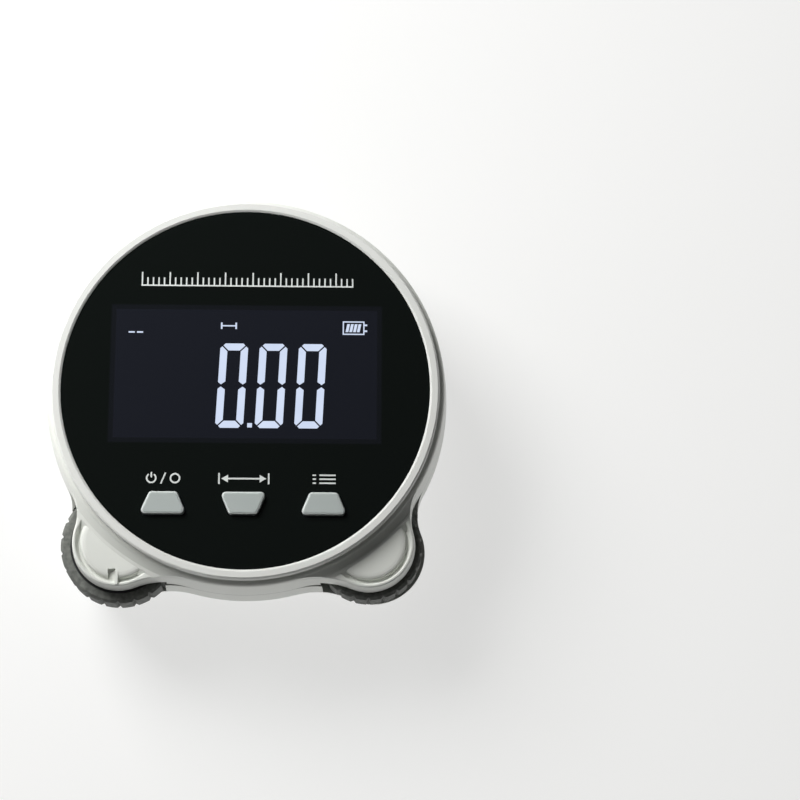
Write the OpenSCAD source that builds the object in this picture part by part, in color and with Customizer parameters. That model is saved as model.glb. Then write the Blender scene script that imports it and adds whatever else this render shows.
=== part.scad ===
// Round digital distance gauge with two measuring wheels at its lower corners.
// It lies on its back: +Z comes out of the display, +Y points to the top of the display.
// The origin is the centre of the flat rear face, on the axis of the round case.

/* [Case] */
// Radius of the round case where it is widest
case_r = 36.4; // [35.8:0.1:37.6]
// Height of the widest line of the case above the rear face
wide_z = 12; // [11:0.5:13]
// Height of the plane where the two shells meet
part_z = 17.2; // [16.8:0.1:17.4]
// Height of the front shell's face, which carries the lens and the ring
face_z = 23.5; // [23.3:0.1:23.8]
// Wall thickness of both shells
wall = 1.8; // [1.4:0.1:2.1]
// Thickness of the front shell's face under the lens
plate_t = 1.3; // [1.1:0.1:1.4]
// How far the side draws in at its front edge
front_draft = 0.7; // [0.4:0.1:0.9]
// How far the side draws in at the rear, before the rounded edge
rear_draft = 3.6; // [2.4:0.1:4]
// Radius of the rounded rear edge
edge_r = 4; // [3:0.5:4.5]

/* [Wheel lobes] */
// Distance of the wheel axes inside the case's widest line
wheel_in = 1; // [0.6:0.1:1.4]
// Angle between each wheel axis and the lowest point of the case, in degrees
wheel_turn = 39; // [37:0.5:40]
// Radius of the front lobe that covers each wheel
lobe_r = 8.6; // [8.3:0.1:8.9]
// How much larger the rear lobes are, and how much further out sideways they stand
rear_lobe_out = 0.8; // [0.6:0.1:1.1]
// Radius of the hollow corner between a lobe and the side of the case
outer_web_r = 8; // [6:0.5:10]
// Radius of the hollow corner between a lobe and the bottom of the case
inner_web_r = 14; // [11:0.5:16]
// Depth of the front lobes' rim below the front shell's face
cap_drop = 1.3; // [1:0.1:1.5]
// Width of the raised rim round a front lobe
rim_w = 0.65; // [0.55:0.05:0.8]
// Depth of the moat inside the rim
moat_d = 0.9; // [0.6:0.1:1]
// Width of the moat between the rim and the pillow
moat_w = 0.7; // [0.5:0.05:0.9]
// Width of the sloping shoulder between the ring and the pillow
shoulder_w = 2.2; // [1.8:0.1:2.5]
// Height of the pillow above the rim
pillow_rise = 0.1; // [0:0.05:0.3]

/* [Lens and ring] */
// Distance of the black face lens inside the case's widest line
lens_in = 3.4; // [3.1:0.05:3.8]
// Thickness of the lens
lens_t = 1.3; // [1:0.1:1.5]
// Thickness of the adhesive tape under the lens
tape_t = 0.15; // [0.1:0.05:0.2]
// Width of the bright ring round the lens
ring_w = 1.75; // [1.5:0.05:1.85]
// How far the ring stands above the lens
ring_rise = 0.35; // [0.2:0.05:0.5]

/* [Display] */
// Distance of the display module's sides inside the case's widest line
lcd_in = 10.65; // [10.3:0.05:11.5]
// Depth of the display module, top to bottom, as a share of its width
lcd_share = 0.553; // [0.52:0.01:0.56]
// Distance of the display's centre above the case axis
lcd_y = 2.8; // [2.4:0.1:3.2]
// Thickness of the display glass
lcd_t = 1.9; // [1.7:0.1:2]
// Thickness of the backlight under it
light_t = 1.7; // [1.6:0.1:1.8]

/* [Keys] */
// Distance of the outer keys from the centre line
key_x = 14.2; // [13.6:0.1:14.8]
// Distance of the keys inside the case's widest line
key_in = 15.2; // [14.9:0.1:15.5]
// Width of a key at its wide side
key_wide = 8.4; // [7.8:0.1:8.6]
// Width of a key at its narrow side
key_narrow = 4.9; // [4.4:0.1:5.4]
// Depth of a key, top to bottom
key_d = 4.1; // [3.8:0.1:4.5]
// Height of the keys above the lens
key_rise = 0.9; // [0.7:0.05:1.1]
// Travel of a key
key_travel = 0.4; // [0.2:0.05:0.45]
// Gap between a key and its opening
key_gap = 0.15; // [0.1:0.05:0.2]

/* [Wheels] */
// Radius of the left wheel, which measures, over its tread
wheel_r = 10.5; // [10.2:0.1:10.7]
// Radius of the right wheel, which steadies the gauge, over its tread
guide_r = 9.6; // [9.4:0.1:10.1]
// Width of a wheel
wheel_w = 5.6; // [5:0.1:5.8]
// Height of the wheels' middle plane above the rear face
wheel_z = 15.5; // [15:0.1:15.6]
// Number of tread blocks round a wheel
tread_n = 22; // [18:1:26]
// Depth of the notches between the tread blocks
tread_d = 0.45; // [0.3:0.05:0.6]
// Width of the notches between the tread blocks
tread_gap = 0.9; // [0.6:0.1:1.2]
// Thickness of the rubber under the notches
tyre_t = 1.3; // [1:0.1:1.6]
// Radius of the axles
axle_r = 1; // [0.9:0.05:1.2]
// Radial clearance of an axle in its bushes
axle_gap = 0.05; // [0.02:0.01:0.08]
// Clearance between a wheel and its well
well_gap = 0.4; // [0.3:0.05:0.5]
// Wall thickness of a bush
bush_t = 0.9; // [0.7:0.1:1]
// Length of a rear bush
rear_bush_l = 4; // [3:0.5:4.5]
// Length of a front bush
front_bush_l = 1.5; // [1.2:0.1:1.6]
// Number of slots in the encoder disc
slot_n = 24; // [16:1:30]
// Width of the sensor's fork
sensor_w = 4.4; // [3.6:0.2:5]
// Width of the sensor board
sboard_w = 9; // [8:0.5:9.5]
// Thickness of the sensor board
sboard_t = 1; // [0.8:0.1:1.2]

/* [Board and power] */
// Thickness of the main board
board_t = 1; // [0.8:0.1:1]
// Distance of the main board's edge inside the case's widest line
board_in = 4.2; // [3.8:0.1:4.6]
// Distance of the battery cell's sides inside the case's widest line
cell_in = 19.4; // [18.4:0.2:21.8]
// Depth of the battery cell, top to bottom, as a share of its width
cell_share = 0.7; // [0.6:0.02:0.74]
// Thickness of the battery cell
cell_t = 5.5; // [4:0.1:6]
// Thickness of the foam pad under the cell
pad_t = 1; // [0.5:0.1:1.5]
// Width of the charging socket
usb_w = 8.94; // [8.8:0.02:9.1]
// Height of the charging socket
usb_h = 3.26; // [3.1:0.02:3.4]
// Sheet thickness of the charging socket
usb_t = 0.3; // [0.25:0.05:0.35]
// Length of the charging socket
usb_l = 7.3; // [6.5:0.1:8]

/* [Screws] */
// Distance of the upper case screws from the centre line
top_screw_x = 15; // [14:0.5:16]
// Distance of the upper case screws inside the case's widest line
top_screw_in = 14.6; // [14:0.1:14.8]
// Distance of the lower case screws from the centre line
low_screw_x = 7; // [6.5:0.1:7.4]
// Distance of the lower case screws inside the case's widest line
low_screw_in = 10; // [9.6:0.1:10.2]
// Radius of a case screw's thread
screw_r = 1; // [0.8:0.05:1.1]
// Radius of a case screw's head
head_r = 1.9; // [1.6:0.1:2]
// Height of a case screw's head
head_h = 1.4; // [1.1:0.1:1.6]

/* [Hidden] */
$fn = 96;

// A cut runs this far past the face it opens
cut = 1;
// Running, seating and screw clearances
seat_gap = 0.05;
end_gap = 0.2;

// Share by which a web stops short of its touching lines
touch = 0.015;

// Sizes and places that follow the case
wheel_x = (case_r - wheel_in) * sin(wheel_turn);
wheel_y = (case_r - wheel_in) * cos(wheel_turn);
lens_r = case_r - lens_in;
lcd_w = 2 * (case_r - lcd_in);
lcd_d = lcd_w * lcd_share;
key_y = case_r - key_in;
board_r = case_r - board_in;
cell_w = 2 * (case_r - cell_in);
cell_d = cell_w * cell_share;
top_screw_y = case_r - top_screw_in;
low_screw_y = case_r - low_screw_in;

// Levels of the front, worked down from the front shell's face
plate_z = face_z - plate_t;
lens_z = face_z + tape_t;
lens_top = lens_z + lens_t;
ring_top = lens_top + ring_rise;
ring_r = lens_r + seat_gap + ring_w;
lcd_top = face_z - 0.1;
light_top = lcd_top - lcd_t;
board_top = light_top - light_t;
board_low = board_top - board_t;
pins_each_side = 9;
pin_w = usb_t * 4 / 3;
pin_pitch = lcd_w / 23.4;
pin_y = lcd_y - lcd_d / 2 + 2 * pin_w;

// Wheel wells and the parts of the axles
well_r = wheel_r + well_gap;
cup_t = 1.2;
cup_r = well_r + cup_t;
well_low = wheel_z - wheel_w / 2 - well_gap;
well_top = wheel_z + wheel_w / 2 + well_gap;
bush_r = axle_r + axle_gap + bush_t;
post_r = bush_r + 1.4;
nose_r = bush_r + 1.2;
disc_t = 0.6;
disc_r = lobe_r + rear_lobe_out - wall - 1.2;
disc_z = well_low - 1.8;
collar_low = disc_z - 0.8;
collar_top = disc_z + 0.6;
post_z = collar_low - end_gap;
axle_low = post_z - rear_bush_l - 0.5;
axle_top = well_top + front_bush_l - end_gap;
collar_r = axle_r + 1.4;

// The front lobes' rim, moat and pillow
cap_z = face_z - cap_drop;
moat_z = cap_z - moat_d;
pillow_z = cap_z + pillow_rise;
rim_r = lobe_r - side_in(cap_z) - rim_w;
pillow_r = rim_r - moat_w;
shoulder_in = ring_r + 0.2;
shoulder_r = shoulder_in + shoulder_w;
shoulder_h = face_z - pillow_z;
crown_r = 0.3;
face_edge_r = 0.8;

// The index mark on the left lobe stands over the left wheel's contact point
index_w = 0.5;
index_notch_w = 1.3;
index_l = 2.4;
index_gap = 0.25;

// Keys, their flanges and their switches
key_r = 0.75;
flange_w = 0.6;
flange_t = 0.8;
flange_top = plate_z - end_gap / 2;
flange_low = flange_top - flange_t;
key_top = lens_top + key_rise;
switch_w = 4.5;
plunger_r = 1.05;
switch_z = flange_low - key_travel - 0.1;
key_turn = [0, 180, 0];
key_xs = [-key_x, 0, key_x];

// Case screws and their bosses
boss_r = 2.6;
rear_boss_r = head_r + 1.3;
head_z = 2.1;
case_screw_xy = [
  [-top_screw_x, top_screw_y], [top_screw_x, top_screw_y],
  [-low_screw_x, -low_screw_y], [low_screw_x, -low_screw_y]
];
screw_top = plate_z - 1.2;

// Board screws and their standoffs
standoff_r = 1.8;
tap_r = 0.7;
side_screw_x = lcd_w / 2 + 3.4;
mid_screw_y = (lcd_y - lcd_d / 2 - key_y + key_d / 2) / 2;
board_screw_xy = [[-side_screw_x, lcd_y], [side_screw_x, lcd_y], [0, mid_screw_y]];

// Charging socket, on the underside of the board at the top of the case
usb_mid = board_low - usb_h / 2;
usb_mouth = case_r - side_in(usb_mid) - 0.4;
usb_slot_gap = 0.3;

// Chips under the board, each as X, Y, width, depth and height in shares of the board's radius
chip_list = [
  [-0.25, 0.25, 0.22, 0.22, 0.038], [0.19, 0.31, 0.14, 0.155, 0.03],
  [0.44, 0.12, 0.09, 0.09, 0.028], [-0.56, 0.06, 0.1, 0.08, 0.025],
  [0.06, 0.06, 0.05, 0.025, 0.02], [0.14, 0.06, 0.05, 0.025, 0.02],
  [-0.06, 0.44, 0.05, 0.025, 0.02], [0.31, -0.12, 0.06, 0.04, 0.028]
];

// Battery, pad and fence
cell_y = 1;
pad_z = wall;
cell_z = pad_z + pad_t;
lead_r = 0.5;
lead_x = 3;
lead_out = 2.5;
fence_t = 1;
fence_l = 6;

// Encoder sensor, on the side of the left wheel that faces the case axis
sensor_turn = atan2(wheel_y, wheel_x);
sensor_low = post_z - 1.4;
sensor_top = well_low - 0.1;
sensor_in = disc_r - 1.8;
sensor_gap = 0.5;
sboard_in = cup_r + 0.2;
sboard_low = wall + 4;
sboard_top = part_z - 2;

// How far the side of the case lies inside its widest line at height z
function side_in(z) =
  z > wide_z
    ? front_draft * pow((z - wide_z) / (face_z - wide_z), 2)
    : rear_draft * pow((wide_z - z) / wide_z, 1.4) + rounding(edge_r - z, edge_r);

// How far a rounded edge of radius r has drawn in at a distance s past its start
function rounding(s, r) = s > 0 ? r - sqrt(max(0, r * r - s * s)) : 0;

// Heights at which the side is set out: close together on the rounded rear edge
all_levels = concat(
  [for (a = [0:15:75]) edge_r * (1 - cos(a))],
  [for (i = [0:5]) edge_r + (wide_z - edge_r) * i / 5],
  [for (i = [1:6]) wide_z + (face_z - wide_z) * i / 6]
);
function levels(z0, z1, crown) = concat(
  [z0],
  [for (z = all_levels) if (z > z0 + 0.05 && z < z1 - crown - 0.05) z],
  crown > 0 ? [for (a = [0:18:90]) z1 - crown * (1 - sin(a))] : [z1]
);

// Outline in R and Z of the drafted side; way is 1 for a disc and -1 for a hollow corner
function side_line(r, z0, z1, crown, way) = [
  for (z = levels(z0, z1, crown))
    [r - way * (side_in(z) + rounding(z - z1 + crown, crown)), z]
];

// A disc whose side follows the draft of the case
module drafted_disc(r, z0, z1, crown = 0) {
  rotate_extrude($fn = 180)
    polygon(concat([[0, z0]], side_line(r, z0, z1, crown, 1), [[0, z1]]));
}

// Centre of the circle of radius web_r that touches the case and a lobe at [x, -y]
function web_centre(x, y, r, web_r, side) =
  let (
    d = norm([x, y]),
    a = (pow(case_r + web_r, 2) - pow(r + web_r, 2) + d * d) / (2 * d),
    h = side * sqrt(pow(case_r + web_r, 2) - a * a)
  )
  [(x * a + y * h) / d, (-y * a + x * h) / d];

// The filled corner between the case and a lobe, hollowed by a flared cutter. It stops a
// hair short of the lines along which the hollow touches the case and the lobe.
module web(x, y, r, web_r, side, z0, z1, crown, inset = 0) {
  c = web_centre(x, y, r, web_r, side);
  difference() {
    translate([0, 0, z0])
      linear_extrude(z1 - z0)
        polygon([[0, 0], [x, -y], c * (1 - touch) + [x, -y] * touch / 2]);
    translate([c[0], c[1], 0])
      rotate_extrude($fn = 120)
        polygon(concat(
          [[0, z0 - cut], [web_r + inset + side_in(z0), z0 - cut]],
          side_line(web_r + inset, z0, z1, crown, -1),
          [[web_r + inset + side_in(z1) + crown, z1 + cut], [0, z1 + cut]]
        ));
  }
}

// Something at both wheels, mirrored
module both_sides() {
  children();
  mirror([1, 0, 0]) children();
}

// The solid outer form of a shell from z0 to z1, with its lobes as high as lobe_top
module shell_form(z0, z1, lobe_top, lobe_out, crown) {
  drafted_disc(case_r, z0, z1, z1 == face_z ? face_edge_r : 0);
  both_sides() lobe_form(z0, lobe_top, lobe_out, crown);
}

// The right lobe with its two webs. An inset one lies that much inside the side.
module lobe_form(z0, z1, lobe_out, crown, inset = 0) {
  x = wheel_x + lobe_out;
  r = lobe_r + lobe_out;
  translate([x, -wheel_y, 0]) drafted_disc(r - inset, z0, z1, crown);
  web(x, wheel_y, r, outer_web_r, 1, z0, z1, crown, inset);
  web(x, wheel_y, r, inner_web_r, -1, z0, z1, crown, inset);
}

// Something at a wheel axis; side is -1 for the left wheel and 1 for the right one
module at_wheel(side) {
  translate([side * wheel_x, -wheel_y, 0]) children();
}

// A cylinder between two heights
module post(r, z0, z1) {
  translate([0, 0, z0]) cylinder(r = r, h = z1 - z0);
}

// A bar with round ends along X, standing in the plane of X and Z
module stadium(w, h, y0, y1) {
  translate([0, y1, 0])
    rotate([90, 0, 0])
      linear_extrude(y1 - y0) {
        square([w - h, h], center = true);
        for (s = [-1, 1]) translate([s * (w - h) / 2, 0]) circle(d = h, $fn = 48);
      }
}

// Corners of a key's outline, grown all round by g
function key_corners(g) =
  let (
    slope = (key_wide - key_narrow) / 2 / key_d,
    side = g * sqrt(1 + slope * slope),
    t = key_narrow / 2 - slope * g + side,
    b = key_wide / 2 + slope * g + side,
    h = key_d / 2 + g
  )
  [[-t, h], [t, h], [b, -h], [-b, -h]];

// A polygon with its corners rounded to radius r
function rounded(p, r) = [
  for (i = [0:len(p) - 1])
    let (
      c = p[i],
      u = unit(p[(i + len(p) - 1) % len(p)] - c),
      v = unit(p[(i + 1) % len(p)] - c),
      half = acos(u * v) / 2,
      centre = c + unit(u + v) * r / sin(half),
      a = c + u * r / tan(half) - centre,
      b = c + v * r / tan(half) - centre,
      sweep = 180 - 2 * half
    )
    for (k = [0:0.25:1])
      centre + (a * sin((1 - k) * sweep) + b * sin(k * sweep)) / sin(sweep)
];
function unit(v) = v / norm(v);

module key_outline(g, r) {
  polygon(rounded(key_corners(g), r));
}

// The three key openings, cut from z0 to z1
module key_openings(z0, z1) {
  for (i = [0:2])
    translate([key_xs[i], -key_y, z0])
      rotate([0, 0, key_turn[i]])
        linear_extrude(z1 - z0) key_outline(key_gap, key_r + key_gap);
}

// The shoulder on a front lobe, right side, which slopes down from the ring to the pillow
module shoulder() {
  intersection() {
    lobe_form(part_z, face_z, 0, 0, seat_gap);
    rotate_extrude($fn = 180)
      polygon([
        [ring_r - 1.5, cap_z - 0.6], [shoulder_r + 0.5, cap_z - 0.6], [shoulder_r + 0.5, cap_z - 0.05],
        [shoulder_r, pillow_z + 0.02], [shoulder_r - shoulder_w * 0.22, pillow_z + shoulder_h * 0.12],
        [shoulder_in + shoulder_w * 0.2, face_z - shoulder_h * 0.2],
        [shoulder_in, face_z - 0.1], [ring_r - 1.5, face_z - 0.1]
      ]);
  }
}

// The moat inside a front lobe's rim, right side. Its ends run up the foot of the shoulder.
module moat_cut() {
  difference() {
    at_wheel(1)
      rotate_extrude($fn = 120)
        polygon([
          [0, moat_z], [rim_r - 0.25, moat_z], [rim_r, moat_z + 0.25], [rim_r, cap_z - 0.2],
          [rim_r + 0.2, cap_z], [rim_r + 0.2, face_z + cut], [0, face_z + cut]
        ]);
    rotate_extrude($fn = 180)
      polygon([
        [0, moat_z - cut], [shoulder_r + 1.2, moat_z - cut], [shoulder_r + 1.2, moat_z],
        [shoulder_r, pillow_z + 0.05], [shoulder_r, face_z + 2 * cut], [0, face_z + 2 * cut]
      ]);
  }
}

// The pillow that fills a front lobe from the foot of the shoulder to the moat
module pillow() {
  difference() {
    at_wheel(1)
      rotate_extrude($fn = 120)
        polygon([
          [0, moat_z - 0.3], [pillow_r, moat_z - 0.3], [pillow_r, pillow_z - 0.6],
          [pillow_r - 0.08, pillow_z - 0.36], [pillow_r - 0.28, pillow_z - 0.16],
          [pillow_r - 0.6, pillow_z - 0.05], [pillow_r - 1.1, pillow_z], [0, pillow_z]
        ]);
    post(shoulder_r - 0.5, moat_z - cut, face_z + cut, $fn = 180);
  }
}

// The index mark: a short rib over the wheel's contact point, with a notch beside it
module index_notch() {
  at_wheel(-1)
    translate([-index_w / 2 - index_notch_w, -rim_r, moat_z + 0.1])
      cube([index_notch_w, index_l, cut * 3]);
}
module index_rib() {
  at_wheel(-1)
    translate([-index_w / 2, -lobe_r + side_in(cap_z) + index_gap, moat_z - 0.2])
      cube([index_w, index_l, cap_z - moat_z + 0.45]);
}

module front_shell() {
  color([0.88, 0.885, 0.86])
  difference() {
    union() {
      difference() {
        union() {
          shell_form(part_z, face_z, cap_z, 0, crown_r);
          both_sides() shoulder();
        }
        both_sides() moat_cut();
        drafted_disc(case_r - wall, part_z - cut, plate_z);
      }
      both_sides() {
        pillow();
        intersection() {
          at_wheel(1) post(nose_r, well_top - cut, plate_z + 0.1);
          drafted_disc(case_r - wall / 2, part_z, face_z);
        }
      }
      index_rib();
      for (p = case_screw_xy)
        translate([p[0], p[1], 0]) post(boss_r, part_z, plate_z + 0.1);
      for (p = board_screw_xy)
        translate([p[0], p[1], 0]) post(standoff_r, board_top, plate_z + 0.1);
    }
    index_notch();
    both_sides() at_wheel(1) {
      post(well_r, part_z - cut, well_top);
      post(bush_r, well_top - cut, well_top + front_bush_l);
    }
    for (p = case_screw_xy)
      translate([p[0], p[1], 0]) post(screw_r, part_z - cut, screw_top + 0.3);
    for (p = board_screw_xy)
      translate([p[0], p[1], 0]) post(tap_r, board_top - cut, plate_z);
    translate([0, lcd_y, face_z])
      cube([lcd_w + 2 * end_gap, lcd_d + 2 * end_gap, 2 * (plate_t + cut)], center = true);
    key_openings(plate_z - cut, face_z + cut);
    difference() {
      post(ring_r - 0.55 + seat_gap, face_z - 0.8, face_z + cut);
      post(ring_r - 1.1 - seat_gap, face_z - 0.8 - cut, face_z + 2 * cut);
    }
    translate([0, 0, usb_mid])
      stadium(usb_w + 2 * usb_slot_gap, usb_h + 2 * usb_slot_gap, case_r - 3 * wall, case_r + cut);
  }
}

module rear_shell() {
  color([0.86, 0.865, 0.84])
  difference() {
    union() {
      difference() {
        shell_form(0, part_z, part_z, rear_lobe_out, 0);
        drafted_disc(case_r - wall, wall, part_z + cut);
        both_sides()
          translate([wheel_x + rear_lobe_out, -wheel_y, 0])
            drafted_disc(lobe_r + rear_lobe_out - wall, wall, part_z + cut);
      }
      both_sides() {
        intersection() {
          at_wheel(1)
            difference() {
              post(cup_r, wall - 0.1, board_low - 0.2);
              post(well_r, 0, board_low);
            }
          union() {
            drafted_disc(case_r - wall / 2, 0, part_z);
            post(case_r - wall - 0.7, part_z - 0.1, board_low - 0.2);
          }
        }
        at_wheel(1) {
          post(post_r, wall - 0.1, post_z);
          post_ribs();
        }
      }
      for (p = case_screw_xy)
        translate([p[0], p[1], 0]) post(rear_boss_r, wall - 0.1, part_z);
      cell_fence();
      sensor_guides();
    }
    both_sides() at_wheel(1) {
      post(well_r, well_low, part_z + cut);
      post(bush_r, post_z - rear_bush_l, post_z + cut);
      post(axle_r + 0.3, axle_low - 0.3, post_z);
    }
    sensor_window();
    for (p = case_screw_xy)
      translate([p[0], p[1], 0]) {
        post(head_r + 0.2, -cut, head_z + head_h);
        post(screw_r + 0.2, 0, part_z + cut);
      }
    translate([0, 0, usb_mid])
      stadium(usb_w + 2 * usb_slot_gap, usb_h + 2 * usb_slot_gap, case_r - 3 * wall, case_r + cut);
  }
}

// Three ribs that tie an axle post to the floor and the lobe
module post_ribs() {
  for (a = [-90, 30, 150])
    rotate([0, 0, a])
      translate([post_r - 0.4, -0.5, wall - 0.1])
        cube([2.4, 1, post_z - wall - 2.5]);
}

// Low fence of four corners round the battery cell
module cell_fence() {
  x = cell_w / 2 + 0.3;
  y = cell_d / 2 + 0.3;
  for (sx = [0, 1], sy = [0, 1])
    translate([0, cell_y, wall - 0.1])
      mirror([sx, 0, 0]) mirror([0, sy, 0]) {
        translate([x, y + fence_t - fence_l, 0]) cube([fence_t, fence_l, cell_t]);
        translate([x + fence_t - fence_l, y, 0]) cube([fence_l, fence_t, cell_t]);
      }
}

// Something set out from the left wheel axis towards the case axis, along X
module at_sensor() {
  at_wheel(-1) rotate([0, 0, sensor_turn]) children();
}

// Two grooved posts that hold the edges of the sensor board
module sensor_guides() {
  at_sensor()
    for (s = [-1, 1])
      difference() {
        translate([sboard_in - 0.6, s * sboard_w / 2 - 0.9, wall - 0.1])
          cube([sboard_t + 1.6, 1.8, sboard_top - wall - 2]);
        translate([sboard_in - seat_gap, -sboard_w / 2 - seat_gap, sboard_low])
          cube([sboard_t + 2 * seat_gap, sboard_w + 2 * seat_gap, sboard_top]);
      }
}

// The window in the left cup through which the sensor reaches the encoder disc
module sensor_window() {
  at_sensor()
    translate([sensor_in, -sensor_w / 2 - 0.4, sensor_low - 0.4])
      cube([cup_r + 0.1 - sensor_in, sensor_w + 0.8, board_low - sensor_low]);
}

module bezel_ring() {
  color([0.93, 0.935, 0.925])
  rotate_extrude($fn = 180)
    polygon([
      [lens_r + seat_gap, face_z], [ring_r - 1.1, face_z], [ring_r - 1.1, face_z - 0.75],
      [ring_r - 0.55, face_z - 0.75], [ring_r - 0.55, face_z], [ring_r - 0.15, face_z],
      [ring_r, face_z + 0.15], [ring_r, ring_top - 0.5], [ring_r - 0.1, ring_top - 0.2],
      [ring_r - 0.35, ring_top], [lens_r + seat_gap + 0.35, ring_top],
      [lens_r + seat_gap, ring_top - 0.25]
    ]);
}

module face_lens() {
  color([0.06, 0.07, 0.07])
  difference() {
    post(lens_r, lens_z, lens_top, $fn = 180);
    key_openings(lens_z - cut, lens_top + cut);
  }
}

// Adhesive tape with the same openings as the face under it
module lens_tape() {
  color([0.16, 0.16, 0.17])
  difference() {
    post(lens_r - 0.5, face_z, lens_z, $fn = 180);
    key_openings(face_z - cut, lens_z + cut);
    translate([0, lcd_y, face_z])
      cube([lcd_w + 2 * end_gap, lcd_d + 2 * end_gap, 2 * cut], center = true);
  }
}

// A block of the display module, centred on the window, between two heights
module lcd_block(w, d, z0, z1) {
  translate([-w / 2, lcd_y - d / 2, z0]) cube([w, d, z1 - z0]);
}

module lcd_glass() {
  color([0.13, 0.15, 0.22])
  union() {
    lcd_block(lcd_w, lcd_d, light_top, lcd_top - lcd_t / 2);
    lcd_block(lcd_w, lcd_d - 3, lcd_top - lcd_t / 2, lcd_top);
  }
}

module lcd_backlight() {
  color([0.93, 0.93, 0.95])
  difference() {
    lcd_block(lcd_w - 1.4, lcd_d - 3.4, board_top, light_top);
    for (s = [-1:1])
      translate([s * lcd_w * 0.31 - 2, lcd_y - lcd_d / 2, board_top - cut])
        cube([4, 3.2, light_t / 2 + cut]);
  }
}

// Contact pins along the lower edge of the display glass, soldered into the board
module lcd_pins() {
  color([0.82, 0.72, 0.4])
  for (i = [-pins_each_side:pins_each_side])
    translate([i * pin_pitch - pin_w / 2, pin_y - pin_w / 2, board_low])
      cube([pin_w, pin_w, light_top - board_low]);
}

// A key cap: a trapezium with a softened top edge, a flange under the face and a foot
module key_cap(i) {
  top_edge = 0.4;
  translate([key_xs[i], -key_y, 0])
    rotate([0, 0, key_turn[i]]) {
      translate([0, 0, flange_top])
        linear_extrude(key_top - top_edge - flange_top) key_outline(0, key_r);
      hull() {
        translate([0, 0, key_top - top_edge])
          linear_extrude(0.01) key_outline(0, key_r);
        translate([0, 0, key_top - top_edge * 0.35])
          linear_extrude(0.01) key_outline(-0.12, key_r - 0.12);
        translate([0, 0, key_top - 0.01])
          linear_extrude(0.01) key_outline(-0.4, key_r - 0.4);
      }
      translate([0, 0, flange_low])
        linear_extrude(flange_t) key_outline(flange_w, key_r + flange_w);
    }
}

// The moving stem of a tactile switch, under the middle of its key
module plunger(i) {
  translate([key_xs[i], -key_y, 0]) {
    post(plunger_r, board_top + key_travel + 0.2, flange_low);
  }
}

module zero_key() { color([0.66, 0.69, 0.68]) key_cap(0); }
module unit_key() { color([0.66, 0.69, 0.68]) key_cap(1); }
module memory_key() { color([0.66, 0.69, 0.68]) key_cap(2); }
module zero_plunger() { color([0.1, 0.1, 0.1]) plunger(0); }
module unit_plunger() { color([0.1, 0.1, 0.1]) plunger(1); }
module memory_plunger() { color([0.1, 0.1, 0.1]) plunger(2); }

module switch_cases() {
  color([0.75, 0.75, 0.76])
  for (x = key_xs)
    translate([x, -key_y, 0])
      difference() {
        translate([-switch_w / 2, -switch_w / 2, board_top])
          cube([switch_w, switch_w, switch_z - board_top]);
        post(plunger_r + 0.1, board_top + 0.15, switch_z + cut);
      }
}

module main_board() {
  color([0.1, 0.35, 0.2])
  difference() {
    post(board_r, board_low, board_top, $fn = 180);
    both_sides() at_wheel(1) post(nose_r + 0.4, board_low - cut, board_top + cut);
    for (p = case_screw_xy)
      translate([p[0], p[1], 0]) post(boss_r + 0.4, board_low - cut, board_top + cut);
    for (p = board_screw_xy)
      translate([p[0], p[1], 0]) post(tap_r + 0.2, board_low - cut, board_top + cut);
    translate([0, pin_y, (board_low + board_top) / 2])
      cube([2 * pins_each_side * pin_pitch + 1.4, pin_w + 0.2, board_t + 2 * cut], center = true);
  }
}

// Controller, memory, charging chip and their passives, under the board
module board_chips() {
  color([0.12, 0.12, 0.13])
  for (c = chip_list) {
    size = board_r * [c[2], c[3], c[4]];
    translate([board_r * c[0] - size[0] / 2, board_r * c[1] - size[1] / 2, board_low - size[2]])
      cube(size);
  }
}

module board_screws() {
  color([0.7, 0.7, 0.72])
  for (p = board_screw_xy)
    translate([p[0], p[1], 0]) {
      post(tap_r, board_low - 0.1, plate_z - 0.4);
      screw_head(1.4, board_low - 0.9, board_low, 0.35);
    }
}

// A pan head between two heights, with a cross recess in its lower face
module screw_head(r, z0, z1, depth) {
  difference() {
    post(r, z0, z1);
    translate([0, 0, z0]) {
      cube([r * 1.1, r * 0.28, 2 * depth], center = true);
      cube([r * 0.28, r * 1.1, 2 * depth], center = true);
    }
  }
}

module case_screws() {
  color([0.72, 0.72, 0.74])
  for (p = case_screw_xy)
    translate([p[0], p[1], 0]) {
      post(screw_r, head_z + head_h - 0.1, screw_top);
      screw_head(head_r, head_z, head_z + head_h, 0.7);
    }
}

module usb_shell() {
  color([0.78, 0.79, 0.8])
  translate([0, 0, usb_mid])
    difference() {
      stadium(usb_w, usb_h, usb_mouth - usb_l, usb_mouth);
      stadium(usb_w - 2 * usb_t, usb_h - 2 * usb_t, usb_mouth - usb_l + usb_t, usb_mouth + cut);
    }
}

module usb_tongue() {
  tongue_w = usb_w * 0.75;
  tongue_t = usb_h * 0.215;
  base_w = usb_w - 2 * usb_t - tongue_t - 0.4;
  base_h = usb_h - 4 * usb_t;
  color([0.1, 0.1, 0.1])
  translate([0, usb_mouth - usb_l + usb_t, usb_mid])
    union() {
      translate([-tongue_w / 2, 0, -tongue_t / 2]) cube([tongue_w, usb_l * 0.77, tongue_t]);
      translate([-base_w / 2, 0, -base_h / 2]) cube([base_w, usb_l * 0.22, base_h]);
    }
}

module battery_cell() {
  color([0.72, 0.73, 0.75])
  union() {
    translate([-cell_w / 2, cell_y - cell_d / 2, cell_z])
      cube([cell_w, cell_d - 1.2, cell_t]);
    translate([-cell_w / 2 + 1, cell_y + cell_d / 2 - 1.2, cell_z + cell_t / 2 - 0.6])
      cube([cell_w - 2, 1.2, 1.2]);
  }
}

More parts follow.
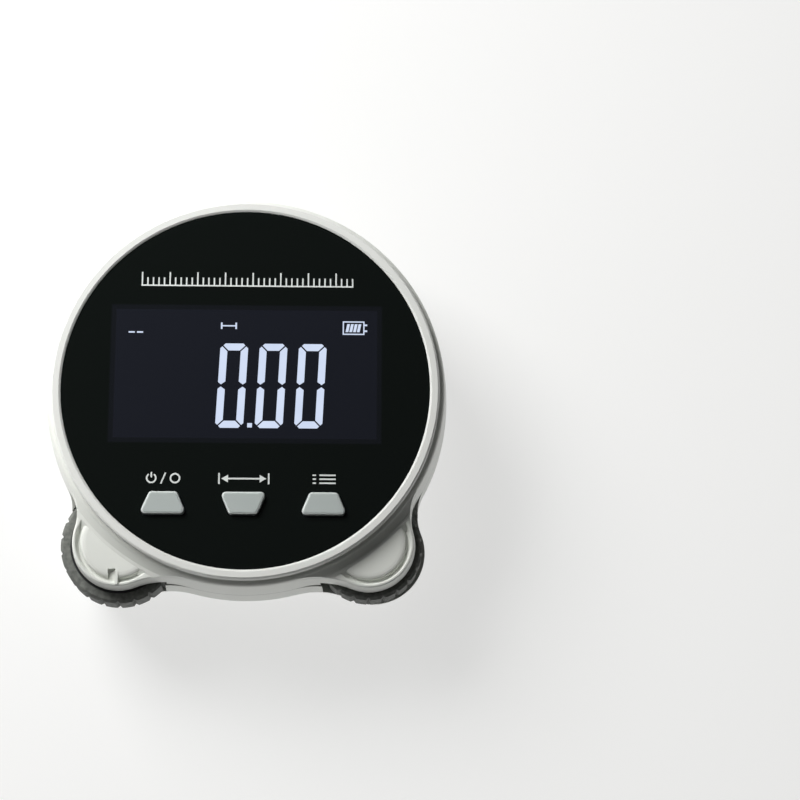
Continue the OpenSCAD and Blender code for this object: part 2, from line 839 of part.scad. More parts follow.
module battery_pad() {
  color([0.2, 0.2, 0.2])
  translate([-cell_w / 2 + 3, cell_y - cell_d / 2 + 3, pad_z])
    cube([cell_w - 6, cell_d - 6, pad_t]);
}

// A wire of radius r along a list of points, with round bends
module wire(points, r) {
  for (i = [0:len(points) - 2])
    let (d = points[i + 1] - points[i])
      translate(points[i])
        rotate([0, acos(d[2] / norm(d)), atan2(d[1], d[0])])
          cylinder(r = r, h = norm(d), $fn = 24);
  for (i = [1:1:len(points) - 2])
    translate(points[i]) sphere(r = r, $fn = 24);
}

module battery_leads() {
  y0 = cell_y + cell_d / 2;
  z0 = cell_z + cell_t / 2;
  color([0.75, 0.12, 0.1])
  for (x = [-lead_x, lead_x])
    wire([[x, y0, z0], [x, y0 + lead_out, z0], [x, y0 + lead_out, board_low]], lead_r);
}

// An axle turned from steel rod, with chamfered ends
module axle(side) {
  at_wheel(side)
    rotate_extrude($fn = 48)
      polygon([
        [0, axle_low], [axle_r - 0.2, axle_low], [axle_r, axle_low + 0.2],
        [axle_r, axle_top - 0.2], [axle_r - 0.2, axle_top], [0, axle_top]
      ]);
}

// Radius of a wheel over its tread, and of its hub
function tread_r(side) = side < 0 ? wheel_r : guide_r;
function hub_r(side) = tread_r(side) - tread_d - tyre_t;

// A wheel hub: boss, web with round lightening holes, and rim
module hub(side) {
  low = wheel_z - wheel_w / 2 + 0.1;
  high = wheel_z + wheel_w / 2 - 0.1;
  web_t = 1.4;
  rim_t = 1.2;
  holes = 6;
  out_r = hub_r(side);
  at_wheel(side)
    difference() {
      rotate_extrude($fn = 120)
        polygon([
          [axle_r, collar_top], [collar_r + 0.4, collar_top], [collar_r + 0.4, wheel_z - web_t / 2],
          [out_r - rim_t, wheel_z - web_t / 2], [out_r - rim_t, low], [out_r, low],
          [out_r, high], [out_r - rim_t, high], [out_r - rim_t, wheel_z + web_t / 2],
          [collar_r + 0.4, wheel_z + web_t / 2], [collar_r + 0.4, well_top - end_gap],
          [axle_r, well_top - end_gap]
        ]);
      for (i = [0:holes - 1])
        rotate([0, 0, i * 360 / holes])
          translate([(collar_r + out_r) / 2, 0, 0])
            post(1.2, wheel_z - web_t, wheel_z + web_t, $fn = 32);
    }
}

// A rubber tyre with tread blocks between sharp notches, and with chamfered edges
module tyre(side) {
  low = wheel_z - wheel_w / 2;
  high = wheel_z + wheel_w / 2;
  top_r = tread_r(side);
  half = tread_gap * (1 + 0.3 / tread_d) / 2;
  at_wheel(side)
    difference() {
      rotate_extrude($fn = 132)
        polygon([
          [hub_r(side), low], [top_r - 0.5, low], [top_r, low + 0.4],
          [top_r, high - 0.4], [top_r - 0.5, high], [hub_r(side), high]
        ]);
      for (i = [0:tread_n - 1])
        rotate([0, 0, (i + 0.5) * 360 / tread_n])
          translate([0, 0, low - cut])
            linear_extrude(wheel_w + 2 * cut)
              polygon([[top_r - tread_d, 0], [top_r + 0.3, -half], [top_r + 0.3, half]]);
    }
}
module left_axle() { color([0.75, 0.76, 0.78]) axle(-1); }
module right_axle() { color([0.75, 0.76, 0.78]) axle(1); }
module left_hub() { color([0.2, 0.2, 0.21]) hub(-1); }
module right_hub() { color([0.2, 0.2, 0.21]) hub(1); }
module left_tyre() { color([0.07, 0.07, 0.07]) tyre(-1); }
module right_tyre() { color([0.07, 0.07, 0.07]) tyre(1); }

// The slotted disc that the sensor counts
module encoder_disc() {
  color([0.1, 0.1, 0.1])
  at_wheel(-1)
    difference() {
      union() {
        post(disc_r, disc_z, disc_z + disc_t);
        post(collar_r, collar_low, collar_top);
      }
      post(axle_r, collar_low - cut, collar_top + cut);
      for (i = [0:slot_n - 1])
        rotate([0, 0, i * 360 / slot_n])
          translate([disc_r - 1.7, -0.3, disc_z - cut])
            cube([1.2, 0.6, disc_t + 2 * cut]);
    }
}

// The plain collar that takes the encoder disc's place on the right axle
module right_spacer() {
  color([0.6, 0.6, 0.62])
  at_wheel(1)
    difference() {
      post(collar_r, collar_low, collar_top);
      post(axle_r, collar_low - cut, collar_top + cut);
    }
}

// A plain bush round an axle
module bush(side, z0, z1) {
  at_wheel(side)
    difference() {
      post(bush_r, z0, z1);
      post(axle_r + axle_gap, z0 - cut, z1 + cut);
    }
}

module rear_bushes() {
  color([0.8, 0.65, 0.35])
  for (s = [-1, 1]) bush(s, post_z - rear_bush_l, post_z);
}
module front_bushes() {
  color([0.8, 0.65, 0.35])
  for (s = [-1, 1]) bush(s, well_top, well_top + front_bush_l);
}

module sensor_board() {
  color([0.1, 0.35, 0.2])
  at_sensor()
    translate([sboard_in, -sboard_w / 2, sboard_low])
      cube([sboard_t, sboard_w, sboard_top - sboard_low]);
}

// A forked light gate that straddles the edge of the encoder disc
module encoder_sensor() {
  fork_low = disc_z - sensor_gap;
  fork_high = disc_z + disc_t + sensor_gap;
  color([0.1, 0.1, 0.11])
  at_sensor()
    difference() {
      translate([sensor_in, -sensor_w / 2, sensor_low])
        cube([sboard_in - sensor_in, sensor_w, sensor_top - sensor_low]);
      translate([sensor_in - cut, -sensor_w / 2 - cut, fork_low])
        cube([disc_r + 0.6 - sensor_in + cut, sensor_w + 2 * cut, fork_high - fork_low]);
    }
}

module sensor_leads() {
  x0 = sboard_in + sboard_t;
  x1 = x0 + 1.4 * sboard_t;
  z0 = sboard_low + 1.5 * sboard_t;
  color([0.8, 0.8, 0.8])
  at_sensor()
    for (i = [-1.5:1:1.5]) {
      y = i * sboard_w * 0.13;
      wire([[x0, y, z0], [x1, y, z0], [x1, y, board_low]], 0.35 * sboard_t);
    }
}

rear_shell();
front_shell();
bezel_ring();
face_lens();
lens_tape();
lcd_glass();
lcd_backlight();
lcd_pins();
zero_key();
unit_key();
memory_key();
zero_plunger();
unit_plunger();
memory_plunger();
switch_cases();
main_board();
board_chips();
board_screws();
usb_shell();
usb_tongue();
battery_cell();
battery_pad();
battery_leads();
left_axle();
left_hub();
left_tyre();
encoder_disc();
right_axle();
right_hub();
right_tyre();
right_spacer();
rear_bushes();
front_bushes();
sensor_board();
encoder_sensor();
sensor_leads();
case_screws();
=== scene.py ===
import math

import bmesh
import bpy
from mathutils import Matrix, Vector


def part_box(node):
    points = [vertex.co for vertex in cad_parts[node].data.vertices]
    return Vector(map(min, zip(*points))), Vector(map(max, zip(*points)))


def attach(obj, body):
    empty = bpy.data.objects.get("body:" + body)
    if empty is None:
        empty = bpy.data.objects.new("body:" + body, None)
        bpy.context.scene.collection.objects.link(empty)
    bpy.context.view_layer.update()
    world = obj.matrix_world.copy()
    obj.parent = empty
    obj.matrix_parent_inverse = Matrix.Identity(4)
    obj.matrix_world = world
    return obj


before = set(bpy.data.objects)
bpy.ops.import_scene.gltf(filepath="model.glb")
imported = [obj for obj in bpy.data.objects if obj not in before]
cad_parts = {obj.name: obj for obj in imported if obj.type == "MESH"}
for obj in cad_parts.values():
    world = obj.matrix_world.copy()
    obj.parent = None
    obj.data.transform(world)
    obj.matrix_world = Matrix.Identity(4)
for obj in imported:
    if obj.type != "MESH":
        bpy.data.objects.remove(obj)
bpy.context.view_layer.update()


# The camera looks down at the gauge, 14 degrees off the display's normal and from the side
# of the keys. The gauge lies left of the middle of the picture, as in the photograph.
view_camera = bpy.data.cameras.new("view")
view_camera.sensor_width = 36
view_camera.lens = 112.9
camera = bpy.data.objects.new("view", view_camera)
camera.location = (0.01977, -0.1118, 0.46039)
camera.rotation_euler = [math.radians(turn) for turn in (14.143, -1.089, 0.202)]
bpy.context.scene.collection.objects.link(camera)
bpy.context.scene.camera = camera
bpy.context.scene.view_settings.view_transform = "Standard"


# The table is a light table: a matt sheet that glows evenly white, so that shadows on it stay
# faint. Softboxes stand at the upper left and overhead, and the room is dark.
def softbox(name, place, size, watts, mirrored):
    """A square lamp aimed at the gauge. Glossy surfaces show it only if it is mirrored."""
    lamp = bpy.data.lights.new(name, "AREA")
    lamp.shape = "SQUARE"
    lamp.size = size
    lamp.energy = watts
    lamp.color = (1.0, 1.0, 0.985)
    box = bpy.data.objects.new(name, lamp)
    box.location = place
    box.visible_glossy = mirrored
    box.rotation_euler = (-Vector(place)).to_track_quat("-Z", "Y").to_euler()
    bpy.context.scene.collection.objects.link(box)


softbox("key_softbox", (-0.18, 0.19, 0.24), size=0.20, watts=1.6, mirrored=False)
softbox("wide_softbox", (-0.28, 0.12, 0.20), size=0.35, watts=0.30, mirrored=True)
softbox("top_softbox", (-0.02, 0.04, 0.36), size=0.30, watts=0.03, mirrored=False)


def feed(tree, socket, source):
    """Gives a socket a plain value, or links another socket to it."""
    if isinstance(source, bpy.types.NodeSocket):
        tree.links.new(source, socket)
    else:
        socket.default_value = source


def along(tree, place, axis):
    """One coordinate of a place."""
    split = tree.nodes.new("ShaderNodeSeparateXYZ")
    feed(tree, split.inputs["Vector"], place)
    return split.outputs[axis]


def ramp(tree, value, start, end, low=0.0, high=1.0, kind="LINEAR"):
    """A mask that goes from low to high while the value goes from start to end."""
    node = tree.nodes.new("ShaderNodeMapRange")
    node.interpolation_type = kind
    sources = {"Value": value, "From Min": start, "From Max": end, "To Min": low, "To Max": high}
    for name, source in sources.items():
        feed(tree, node.inputs[name], source)
    return node.outputs["Result"]


def blend(tree, mask, under, over):
    """A colour that goes from one tone to the other with a mask."""
    node = tree.nodes.new("ShaderNodeMix")
    node.data_type = "RGBA"
    for name, source in {"Factor": mask, "A": under, "B": over}.items():
        feed(tree, node.inputs[name], source)
    return node.outputs["Result"]


wall_tone, ceiling_tone = (0.10, 0.105, 0.098, 1), (0.05, 0.052, 0.05, 1)
wall_head, ceiling_edge = 0.1, 0.6
room = bpy.data.worlds.new("room")
room.use_nodes = True
bpy.context.scene.world = room
tree = room.node_tree
sky = tree.nodes["Background"].inputs
direction = tree.nodes.new("ShaderNodeTexCoord").outputs["Generated"]
upward = ramp(tree, along(tree, direction, "Z"), wall_head, ceiling_edge)
feed(tree, sky["Color"], blend(tree, upward, wall_tone, ceiling_tone))
sky["Strength"].default_value = 0.35

sheet_half, sheet_drop = 2, 0.00005
bm = bmesh.new()
bmesh.ops.create_grid(bm, x_segments=1, y_segments=1, size=sheet_half)
bmesh.ops.translate(bm, verts=bm.verts, vec=(0, 0, -sheet_drop))
sheet_mesh = bpy.data.meshes.new("table_sheet")
bm.to_mesh(sheet_mesh)
bm.free()
table_sheet = bpy.data.objects.new("table_sheet", sheet_mesh)
bpy.context.scene.collection.objects.link(table_sheet)
white_paper = bpy.data.materials.new("white_paper")
white_paper.use_nodes = True
paper = white_paper.node_tree.nodes["Principled BSDF"].inputs
paper["Base Color"].default_value = (0.32, 0.32, 0.32, 1)
paper["Roughness"].default_value = 0.9
paper["Emission Color"].default_value = (1.0, 1.0, 0.99, 1)
paper["Emission Strength"].default_value = 0.65
sheet_mesh.materials.append(white_paper)


# The rear and front shells are injection moulded and sprayed a warm pale grey, with a fine
# orange peel and the faintest cloudiness. They meet in a hairline seam, whose shadow is painted as
# a dark line round the case, and are held by screws.
def noise(tree, place, scale, detail=2.0, distortion=0.0):
    """Soft noise over a piece, from 0 to 1."""
    node = tree.nodes.new("ShaderNodeTexNoise")
    sources = {"Vector": place, "Scale": scale, "Detail": detail, "Distortion": distortion}
    for name, source in sources.items():
        feed(tree, node.inputs[name], source)
    return node.outputs["Fac"]


def skin_group():
    """A surface's unevenness: two tints in soft clouds, a fine grain and a patchy gloss."""
    group = bpy.data.node_groups.new("fine_skin", "ShaderNodeTree")
    for name, kind, value in (
        ("Pale", "NodeSocketColor", (0.8, 0.8, 0.8, 1)),
        ("Deep", "NodeSocketColor", (0.7, 0.7, 0.7, 1)),
        ("Grain Scale", "NodeSocketFloat", 4000),
        ("Cloud Scale", "NodeSocketFloat", 120),
        ("Smoothest", "NodeSocketFloat", 0.35),
        ("Roughest", "NodeSocketFloat", 0.5),
    ):
        socket = group.interface.new_socket(name, in_out="INPUT", socket_type=kind)
        socket.default_value = value
    for name, kind in (
        ("Color", "NodeSocketColor"),
        ("Roughness", "NodeSocketFloat"),
        ("Height", "NodeSocketFloat"),
    ):
        group.interface.new_socket(name, in_out="OUTPUT", socket_type=kind)
    given = group.nodes.new("NodeGroupInput").outputs
    result = group.nodes.new("NodeGroupOutput").inputs
    place = group.nodes.new("ShaderNodeTexCoord").outputs["Object"]
    clouds = noise(group, place, given["Cloud Scale"], detail=5)
    tint = blend(group, clouds, given["Pale"], given["Deep"])
    gloss = ramp(group, clouds, 0, 1, given["Smoothest"], given["Roughest"])
    feed(group, result["Color"], tint)
    feed(group, result["Roughness"], gloss)
    feed(group, result["Height"], noise(group, place, given["Grain Scale"]))
    return group


fine_skin = skin_group()


def make_finish(name, pale, deep, gloss, grain, depth, metallic=0.0, clouds=120):
    """A material whose two tints, least and most roughness and bump come from the fine skin.

    Grain and clouds are the scales of its two noises, and depth is the height of the grain.
    """
    material = bpy.data.materials.new(name)
    material.use_nodes = True
    tree = material.node_tree
    shader = tree.nodes["Principled BSDF"].inputs
    shader["Metallic"].default_value = metallic
    skin = tree.nodes.new("ShaderNodeGroup")
    skin.node_tree = fine_skin
    skin.inputs["Pale"].default_value = (*pale, 1)
    skin.inputs["Deep"].default_value = (*deep, 1)
    skin.inputs["Grain Scale"].default_value = grain
    skin.inputs["Cloud Scale"].default_value = clouds
    skin.inputs["Smoothest"].default_value, skin.inputs["Roughest"].default_value = gloss
    bump = tree.nodes.new("ShaderNodeBump")
    bump.inputs["Strength"].default_value = 0.5
    bump.inputs["Distance"].default_value = depth
    feed(tree, bump.inputs["Height"], skin.outputs["Height"])
    feed(tree, shader["Base Color"], skin.outputs["Color"])
    feed(tree, shader["Roughness"], skin.outputs["Roughness"])
    feed(tree, shader["Normal"], bump.outputs["Normal"])
    return material


def work_out(tree, operation, *terms):
    """The result of one step of arithmetic."""
    node = tree.nodes.new("ShaderNodeMath")
    node.operation = operation
    for socket, term in zip(node.inputs, terms):
        feed(tree, socket, term)
    return node.outputs["Value"]


def lay_over(material, mask, tone):
    """Lays a tone over a material's own colour where the mask is one."""
    tree = material.node_tree
    colour = tree.nodes["Principled BSDF"].inputs["Base Color"]
    feed(tree, colour, blend(tree, mask, colour.links[0].from_socket, tone))


def dress(material, *names):
    """Gives CAD nodes a material."""
    for name in names:
        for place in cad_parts[name].material_slots:
            place.material = material


case_spray = make_finish(
    "case_spray", (0.83, 0.845, 0.805), (0.79, 0.805, 0.765),
    gloss=(0.36, 0.46), grain=5200, depth=0.000006, metallic=0.12,
)
# The seam line is painted shade: a dark band at the seam's height, standing in for the shadow in
# the gap between the shells.
seam_height, seam_edge, seam_core = 0.0172, 0.00011, 0.00003
seam_shade_strength, seam_shade_tone = 0.75, (0.16, 0.16, 0.15, 1)
tree = case_spray.node_tree
height = along(tree, tree.nodes.new("ShaderNodeTexCoord").outputs["Object"], "Z")
from_seam = work_out(tree, "ABSOLUTE", work_out(tree, "SUBTRACT", height, seam_height))
seam_shade = ramp(tree, from_seam, seam_edge, seam_core, high=seam_shade_strength, kind="SMOOTHSTEP")
lay_over(case_spray, seam_shade, seam_shade_tone)
dress(case_spray, "rear_shell", "front_shell")


# The bezel ring is a moulded ring with a bright satin silver coat. It is pressed into a
# groove of the front shell and holds the edge of the lens.
satin_silver = make_finish(
    "satin_silver", (0.82, 0.828, 0.805), (0.78, 0.788, 0.765),
    gloss=(0.44, 0.52), grain=9000, depth=0.000004, metallic=0.05,
)
dress(satin_silver, "bezel_ring")


# The face lens is one sheet of clear acrylic, printed black behind, with a smoky window over
# the display. Finger marks dull its gloss a little. Black tape fixes it to the front shell.
lens_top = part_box("face_lens")[1].z
window_half = {"X": 0.02435, "Y": 0.01275}
window_middle_y = 0.0026
window_blur, border_start, border_end = 0.00018, 0.0007, 0.0010
face_print = (0.0052, 0.0068, 0.0062, 1)
window_border = (0.0085, 0.0098, 0.0125, 1)
smoky_window = (0.0118, 0.0132, 0.0192, 1)
smear_least, smear_most, polished, fingered = 0.35, 0.75, 0.04, 0.13

face_black = bpy.data.materials.new("face_black")
face_black.use_nodes = True
tree = face_black.node_tree
shader = tree.nodes["Principled BSDF"].inputs
place = tree.nodes.new("ShaderNodeTexCoord").outputs["Object"]
centre = tree.nodes.new("ShaderNodeMapping")
centre.inputs["Location"].default_value = (0, -window_middle_y, 0)
feed(tree, centre.inputs["Vector"], place)


def window_mask(tree, place, outer, inner):
    """One inside the window and zero outside it. It fades between two offsets from its edge."""
    masks = []
    for axis, half in window_half.items():
        away = work_out(tree, "ABSOLUTE", along(tree, place, axis))
        masks.append(ramp(tree, away, half + outer, half + inner, kind="SMOOTHSTEP"))
    return work_out(tree, "MULTIPLY", *masks)


edge_mask = window_mask(tree, centre.outputs["Vector"], window_blur, -window_blur)
glass_mask = window_mask(tree, centre.outputs["Vector"], -border_start, -border_end)
edged = blend(tree, edge_mask, face_print, window_border)
feed(tree, shader["Base Color"], blend(tree, glass_mask, edged, smoky_window))
smears = noise(tree, place, scale=90, detail=6, distortion=0.6)
dulled = ramp(tree, smears, smear_least, smear_most, low=polished, high=fingered)
feed(tree, shader["Roughness"], dulled)
dress(face_black, "face_lens")

black_tape = make_finish(
    "black_tape", (0.018, 0.018, 0.018), (0.012, 0.012, 0.012),
    gloss=(0.6, 0.75), grain=3000, depth=0.00001,
)
dress(black_tape, "lens_tape")


# The marks on the face are screen printed in pale grey: a row of graduations over the display
# and a small sign over each key. The ink stands two hundredths of a millimetre off the lens.
print_sunk, print_proud = 0.00001, 0.00002
print_low, print_high = lens_top - print_sunk, lens_top + print_proud


def prism(bm, outline):
    """A flat print with the given outline."""
    base = bm.faces.new([bm.verts.new((x, y, print_low)) for x, y in outline])
    raised = bmesh.ops.extrude_face_region(bm, geom=[base])["geom"]
    corners = [part for part in raised if isinstance(part, bmesh.types.BMVert)]
    bmesh.ops.translate(bm, verts=corners, vec=(0, 0, print_high - print_low))


def bar(bm, start, end, width):
    """A straight printed stroke from start to end."""
    start, end = Vector(start), Vector(end)
    side = (end - start).normalized().orthogonal() * width / 2
    prism(bm, [start + side, start - side, end - side, end + side])


def hoop(bm, middle, radius, width, turn=math.tau, start=0.0):
    """A printed ring, or part of one, spun from its cross-section."""
    outward = Vector((math.cos(start), math.sin(start)))
    inner, outer = (Vector(middle) + outward * r for r in (radius - width, radius))
    profile = ((inner, print_low), (outer, print_low), (outer, print_high), (inner, print_high))
    section = bm.faces.new([bm.verts.new((*place, z)) for place, z in profile])
    geometry = [section]
    whole = turn >= math.tau
    if whole:
        geometry = list(section.edges)
        bm.faces.remove(section)
    bmesh.ops.spin(
        bm, geom=geometry, cent=(*middle, 0), axis=(0, 0, 1), angle=turn, steps=36, use_merge=whole
    )


def piece(name, bm, material, body):
    """Turns a bmesh into a piece that rides on a body."""
    bmesh.ops.remove_doubles(bm, verts=bm.verts, dist=1e-8)
    bmesh.ops.recalc_face_normals(bm, faces=bm.faces)
    mesh = bpy.data.meshes.new(name)
    bm.to_mesh(mesh)
    bm.free()
    mesh.materials.append(material)
    new = bpy.data.objects.new(name, mesh)
    bpy.context.scene.collection.objects.link(new)
    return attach(new, body)


pale_print = make_finish(
    "pale_print", (0.78, 0.81, 0.80), (0.64, 0.67, 0.66),
    gloss=(0.45, 0.6), grain=12000, depth=0.000002, clouds=900,
)

mark_count, mark_step, long_every = 39, 0.001, 5
short_mark, long_mark, mark_line = 0.0015, 0.0025, 0.00026
scale_left, scale_foot = -0.019, 0.0190
bm = bmesh.new()
for i in range(mark_count):
    x = scale_left + i * mark_step
    tall = short_mark if i % long_every else long_mark
    bar(bm, (x, scale_foot + mark_line / 2), (x, scale_foot + tall), mark_line)
foot_end = -scale_left + mark_line / 2
bar(bm, (-foot_end, scale_foot), (foot_end, scale_foot), mark_line)
piece("scale_marks", bm, pale_print, "case")

sign_y = -0.01665
sign_half, sign_line = 0.001, 0.00028
power_x, slash_x, zero_x = -0.0164, (-0.0147, -0.0139), -0.0122
ring_radius, ring_line, slash_line = 0.00095, 0.0003, 0.00026
power_sweep, power_start = math.radians(290), math.radians(125)
power_foot, power_head = 0.0001, 0.00115
bm = bmesh.new()
hoop(bm, (power_x, sign_y), ring_radius, sign_line, power_sweep, power_start)
bar(bm, (power_x, sign_y + power_foot), (power_x, sign_y + power_head), sign_line)
bar(bm, (slash_x[0], sign_y - sign_half), (slash_x[1], sign_y + sign_half), slash_line)
hoop(bm, (zero_x, sign_y), ring_radius, ring_line)
piece("zero_sign", bm, pale_print, "case")

arrow_neck, arrow_tip, arrow_half = 0.0028, 0.0040, 0.0007
arrow_line, stop_x = 0.0003, 0.0044
bm = bmesh.new()
bar(bm, (-arrow_neck, sign_y), (arrow_neck, sign_y), arrow_line)
for s in (-1, 1):
    neck = s * arrow_neck
    prism(bm, [(s * arrow_tip, sign_y), (neck, sign_y + arrow_half), (neck, sign_y - arrow_half)])
    bar(bm, (s * stop_x, sign_y - sign_half), (s * stop_x, sign_y + sign_half), sign_line)
piece("length_sign", bm, pale_print, "case")

row_step = 0.00072
dot_ends, row_ends = (0.0122, 0.0128), (0.0134, 0.0163)
bm = bmesh.new()
for i in (-1, 0, 1):
    y = sign_y + i * row_step
    for start, end in (dot_ends, row_ends):
        bar(bm, (start, y), (end, y), sign_line)
piece("list_sign", bm, pale_print, "case")


# The display is a liquid-crystal glass on a milky light guide. It shows a plain reading in
# seven-segment digits, with two dashes, a length mark and a battery mark above it. The lit
# parts glow cool white through the smoky window.
cool_glow, bright_glow = (0.54, 0.62, 0.80, 1), (0.66, 0.74, 0.90, 1)
lit_segment = bpy.data.materials.new("lit_segment")
lit_segment.use_nodes = True
tree = lit_segment.node_tree
shader = tree.nodes["Principled BSDF"].inputs
glow = noise(tree, tree.nodes.new("ShaderNodeTexCoord").outputs["Object"], scale=220)
feed(tree, shader["Emission Color"], blend(tree, glow, cool_glow, bright_glow))
shader["Base Color"].default_value = (0.05, 0.055, 0.07, 1)
shader["Roughness"].default_value = 0.12
shader["Emission Strength"].default_value = 1.0

digit_w, digit_h = 0.0050, 0.0156
stroke, corner, slit = 0.0013, 0.0009, 0.00009
waist_out, waist_in, waist_tip, tip_part = 0.00062, 0.00075, 0.0002, 0.42
lean = math.tan(math.radians(2.6))


def segment(bm, left, foot, outline, flip_x, flip_y):
    """One lit segment, turned over to its place in a digit and leaning to the right."""
    placed = []
    for x, y in outline:
        x = digit_w - x if flip_x else x
        y = digit_h - y if flip_y else y
        placed.append((left + x + y * lean, foot + y))
    prism(bm, placed)


def digit_zero(bm, left, foot):
    """The six lit segments of a zero: four at its sides, one at its head and one at its foot."""
    w, h, t, c, g = digit_w, digit_h, stroke, corner, slit
    cap = [
        (c / 2 + g, h - c / 2 + g), (c, h), (w - c, h), (w - c / 2 - g, h - c / 2 + g),
        (w - t - 2 * g, h - t), (t + 2 * g, h - t),
    ]
    side = [
        (0, h / 2 + waist_out), (0, h - c), (c / 2 - g, h - c / 2 - g), (t, h - t - 2 * g),
        (t, h / 2 + waist_in), (t * tip_part, h / 2 + waist_tip),
    ]
    for flip_x in (False, True):
        for flip_y in (False, True):
            segment(bm, left, foot, side, flip_x, flip_y)
    for flip_y in (False, True):
        segment(bm, left, foot, cap, False, flip_y)


digit_lefts, digit_foot = (-0.00533, 0.00172, 0.00877), -0.0074
point_left, point_right, point_foot, point_head = 0.0004, 0.00125, -0.0073, -0.0065
point_lean = 0.00003
bm = bmesh.new()
for left in digit_lefts:
    digit_zero(bm, left, digit_foot)
prism(bm, [
    (point_left, point_foot), (point_right, point_foot),
    (point_right + point_lean, point_head), (point_left + point_lean, point_head),
])
piece("reading_digits", bm, lit_segment, "case")

dash_lefts, dash_y, dash_long, dash_line = (-0.0212, -0.0197), 0.0102, 0.0011, 0.00028
length_ends, length_y, length_line = (-0.0045, -0.0019), 0.0115, 0.00024
end_half, end_line = 0.0006, 0.0003
bm = bmesh.new()
for left in dash_lefts:
    bar(bm, (left, dash_y), (left + dash_long, dash_y), dash_line)
start, end = length_ends
bar(bm, (start + end_line / 2, length_y), (end - end_line / 2, length_y), length_line)
for x in length_ends:
    bar(bm, (x, length_y - end_half), (x, length_y + end_half), end_line)
piece("status_marks", bm, lit_segment, "case")

left, right, foot, head, line = 0.0174, 0.0211, 0.0101, 0.0124, 0.00022
prong_inset, prong_end, prong_line = 0.0006, 0.0006, 0.00032
charge_count, charge_inset, charge_step = 4, 0.0004, 0.00068
charge_w, charge_lean = 0.0005, 0.0003
bm = bmesh.new()
for y in (foot, head):
    bar(bm, (left - line / 2, y), (right + line / 2, y), line)
for x in (left, right):
    bar(bm, (x, foot + line / 2), (x, head - line / 2), line)
for y in (foot + prong_inset, head - prong_inset):
    bar(bm, (right + line / 2, y), (right + prong_end, y), prong_line)
for i in range(charge_count):
    x = left + charge_inset + i * charge_step
    low, high = foot + charge_inset, head - charge_inset
    prism(bm, [
        (x, low), (x + charge_w, low), (x + charge_w + charge_lean, high), (x + charge_lean, high)
    ])
piece("battery_mark", bm, lit_segment, "case")

dark_glass = make_finish(
    "dark_glass", (0.02, 0.022, 0.035), (0.015, 0.017, 0.028),
    gloss=(0.08, 0.16), grain=3000, depth=0.000001,
)
dress(dark_glass, "lcd_glass")
milky_guide = make_finish(
    "milky_guide", (0.86, 0.87, 0.90), (0.80, 0.81, 0.85),
    gloss=(0.3, 0.45), grain=2500, depth=0.000004,
)
dress(milky_guide, "lcd_backlight")


# The three keys are moulded in a cool grey with a very fine spark finish, and their rounded
# rims carry a paler painted highlight. Each rests on the black stem of a small steel-cased switch.
key_grey = make_finish(
    "key_grey", (0.465, 0.507, 0.498), (0.42, 0.46, 0.45),
    gloss=(0.38, 0.50), grain=9000, depth=0.000005,
)
key_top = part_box("zero_key")[1].z
# The rims' paler tone is a painted highlight. It fades in from the top edge of each key down its
# bevel.
rim_start, rim_end, rim_highlight_tone = 0.00002, 0.00018, (0.78, 0.82, 0.81, 1)
tree = key_grey.node_tree
height = along(tree, tree.nodes.new("ShaderNodeTexCoord").outputs["Object"], "Z")
lay_over(key_grey, ramp(tree, height, key_top - rim_start, key_top - rim_end), rim_highlight_tone)
dress(key_grey, "zero_key", "unit_key", "memory_key")
black_nylon = make_finish(
    "black_nylon", (0.022, 0.022, 0.024), (0.014, 0.014, 0.016),
    gloss=(0.45, 0.6), grain=4000, depth=0.000006,
)
dress(black_nylon, "zero_plunger", "unit_plunger", "memory_plunger")
pressed_steel = make_finish(
    "pressed_steel", (0.62, 0.62, 0.63), (0.52, 0.52, 0.54),
    gloss=(0.22, 0.4), grain=2500, depth=0.000003, metallic=1.0,
)
dress(pressed_steel, "switch_cases")


# The boards are glass-fibre laminate under green solder mask, and carry black chips, a fork
# sensor and a steel charging inlet. The display's pins and the sensor's wires are tinned, and
# the leads of the cell are red.
green_mask = make_finish(
    "green_mask", (0.020, 0.125, 0.055), (0.012, 0.085, 0.036),
    gloss=(0.22, 0.38), grain=2200, depth=0.00001, clouds=260,
)
dress(green_mask, "main_board", "sensor_board")
dress(black_nylon, "board_chips", "usb_tongue", "encoder_sensor")
dress(pressed_steel, "usb_shell")
tinned_pins = make_finish(
    "tinned_pins", (0.70, 0.66, 0.52), (0.58, 0.54, 0.40),
    gloss=(0.25, 0.4), grain=5000, depth=0.000003, metallic=1.0,
)
dress(tinned_pins, "lcd_pins", "sensor_leads")
red_lead = make_finish(
    "red_lead", (0.42, 0.030, 0.020), (0.34, 0.022, 0.016),
    gloss=(0.35, 0.5), grain=3000, depth=0.000004,
)
dress(red_lead, "battery_leads")


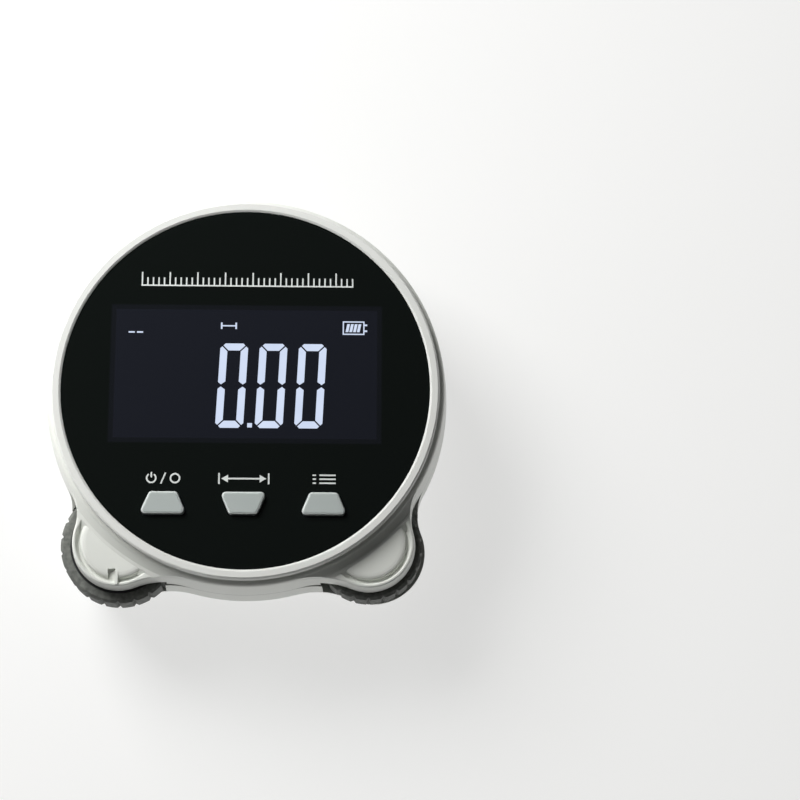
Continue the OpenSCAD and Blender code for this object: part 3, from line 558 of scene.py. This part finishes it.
# The cell is a flat pouch of dull, slightly crumpled foil. It is stuck to the floor of the
# rear shell on a pad of black foam.
pouch_foil = make_finish(
    "pouch_foil", (0.60, 0.61, 0.62), (0.50, 0.51, 0.52),
    gloss=(0.28, 0.5), grain=900, depth=0.00004, metallic=0.9, clouds=160,
)
dress(pouch_foil, "battery_cell")
black_foam = make_finish(
    "black_foam", (0.022, 0.022, 0.022), (0.010, 0.010, 0.010),
    gloss=(0.85, 0.97), grain=1800, depth=0.00012,
)
dress(black_foam, "battery_pad")


# Each wheel is a dark nylon hub with a moulded rubber tread. The rubber is dull, with dust
# caught in its pores. The wheels' steel axles turn in bronze bushes, and the left one carries
# the slotted disc that is counted.
tread_rubber = make_finish(
    "tread_rubber", (0.27, 0.28, 0.262), (0.03, 0.032, 0.029),
    gloss=(0.62, 0.85), grain=3500, depth=0.00004, clouds=1100,
)
dress(tread_rubber, "left_tyre", "right_tyre")
hub_nylon = make_finish(
    "hub_nylon", (0.035, 0.035, 0.037), (0.022, 0.022, 0.024),
    gloss=(0.4, 0.55), grain=4500, depth=0.000008,
)
dress(hub_nylon, "left_hub", "right_hub")
disc_black = make_finish(
    "disc_black", (0.012, 0.012, 0.013), (0.008, 0.008, 0.009),
    gloss=(0.3, 0.42), grain=6000, depth=0.000003,
)
dress(disc_black, "encoder_disc")
ground_steel = make_finish(
    "ground_steel", (0.66, 0.66, 0.67), (0.56, 0.56, 0.58),
    gloss=(0.16, 0.3), grain=5000, depth=0.000002, metallic=1.0,
)
dress(ground_steel, "left_axle", "right_axle", "right_spacer")
oiled_bronze = make_finish(
    "oiled_bronze", (0.55, 0.38, 0.17), (0.42, 0.27, 0.11),
    gloss=(0.32, 0.5), grain=6000, depth=0.00001, metallic=1.0, clouds=900,
)
dress(oiled_bronze, "rear_bushes", "front_bushes")


# The screws are nickel-plated steel with cross recesses. They are driven from the rear, the
# case screws last and deep in their wells.
nickel_plate = make_finish(
    "nickel_plate", (0.60, 0.59, 0.57), (0.50, 0.49, 0.47),
    gloss=(0.2, 0.36), grain=4000, depth=0.000004, metallic=1.0,
)
dress(nickel_plate, "case_screws", "board_screws")
